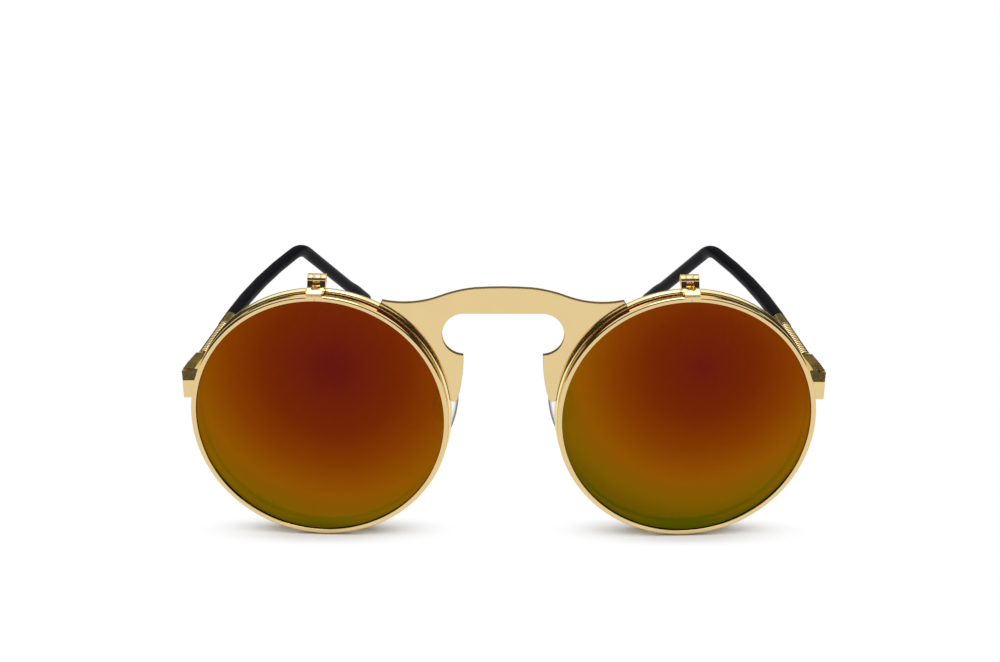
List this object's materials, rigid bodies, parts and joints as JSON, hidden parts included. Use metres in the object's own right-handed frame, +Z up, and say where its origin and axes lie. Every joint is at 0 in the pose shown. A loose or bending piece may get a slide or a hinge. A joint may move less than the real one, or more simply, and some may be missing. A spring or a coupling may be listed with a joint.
{
  "type": "flip-up sunglasses",
  "caption": "Round flip-up sunglasses: mirrored lenses hinge up off a fixed wire front with a pierced bridge, adjustable nose pads and folding temples with coil-spring sections.",
  "frame": {"origin": "middle of the bounding box on the surface that the rims and temple tips stand on", "axes": "+X to the wearer's left, -Y to the front, +Y back along the temples, +Z up"},
  "size_m": [0.1372, 0.1454, 0.0576],
  "materials": {
    "gold": "polished pale gold plating",
    "old_gold": "satin darker gold plating",
    "steel": "bright drawn wire and turned screws",
    "mirror_lens": "orange mirror coating",
    "clear_lens": "clear, polished",
    "black_sleeve": "satin black tube",
    "silicone": "clear soft silicone"
  },
  "bodies": {
    "front": {"bridge_plate": "gold", "left_rim": "gold", "left_clear_lens": "clear_lens", "left_end_piece": "gold", "left_hinge_screw": "steel", "left_flip_post": "gold", "left_flip_pin": "gold", "left_pad_arm": "gold", "left_pad_screw": "steel", "right_rim": "gold", "right_clear_lens": "clear_lens", "right_end_piece": "gold", "right_hinge_screw": "steel", "right_flip_post": "gold", "right_flip_pin": "gold", "right_pad_arm": "gold", "right_pad_screw": "steel"},
    "left_flip": {"left_flip_ring": "gold", "left_mirror_lens": "mirror_lens", "left_flip_bracket": "gold"},
    "left_temple": {"left_temple_butt": "gold", "left_temple_core": "steel", "left_temple_spring": "gold", "left_ferrule": "old_gold", "left_sleeve": "black_sleeve"},
    "left_pad": {"left_nose_pad": "silicone", "left_pad_lug": "steel"},
    "right_flip": {"right_flip_ring": "gold", "right_mirror_lens": "mirror_lens", "right_flip_bracket": "gold"},
    "right_temple": {"right_temple_butt": "gold", "right_temple_core": "steel", "right_temple_spring": "gold", "right_ferrule": "old_gold", "right_sleeve": "black_sleeve"},
    "right_pad": {"right_nose_pad": "silicone", "right_pad_lug": "steel"}
  },
  "joints": [
    {"name": "left_flip_hinge", "type": "hinge", "parent": "front", "child": "left_flip", "pos_m": [0.03804, -0.06679, 0.0565], "axis": [-0.999, -0.0454, 0], "range_deg": [0, 105]},
    {"name": "right_flip_hinge", "type": "hinge", "parent": "front", "child": "right_flip", "pos_m": [-0.03804, -0.06679, 0.0565], "axis": [-0.999, 0.0454, 0], "range_deg": [0, 105]},
    {"name": "left_temple_hinge", "type": "hinge", "parent": "front", "child": "left_temple", "pos_m": [0.0662, -0.06084, 0.0318], "axis": [0, 0, 1], "range_deg": [0, 80]},
    {"name": "right_temple_hinge", "type": "hinge", "parent": "front", "child": "right_temple", "pos_m": [-0.0662, -0.06084, 0.0318], "axis": [0, 0, -1], "range_deg": [0, 74]},
    {"name": "left_pad_rock", "type": "hinge", "parent": "front", "child": "left_pad", "pos_m": [0.01429, -0.06153, 0.02501], "axis": [0.5, 0.866, 0], "range_deg": [-8, 8]},
    {"name": "right_pad_rock", "type": "hinge", "parent": "front", "child": "right_pad", "pos_m": [-0.01429, -0.06153, 0.02501], "axis": [0.5, -0.866, 0], "range_deg": [-8, 8]}
  ]
}
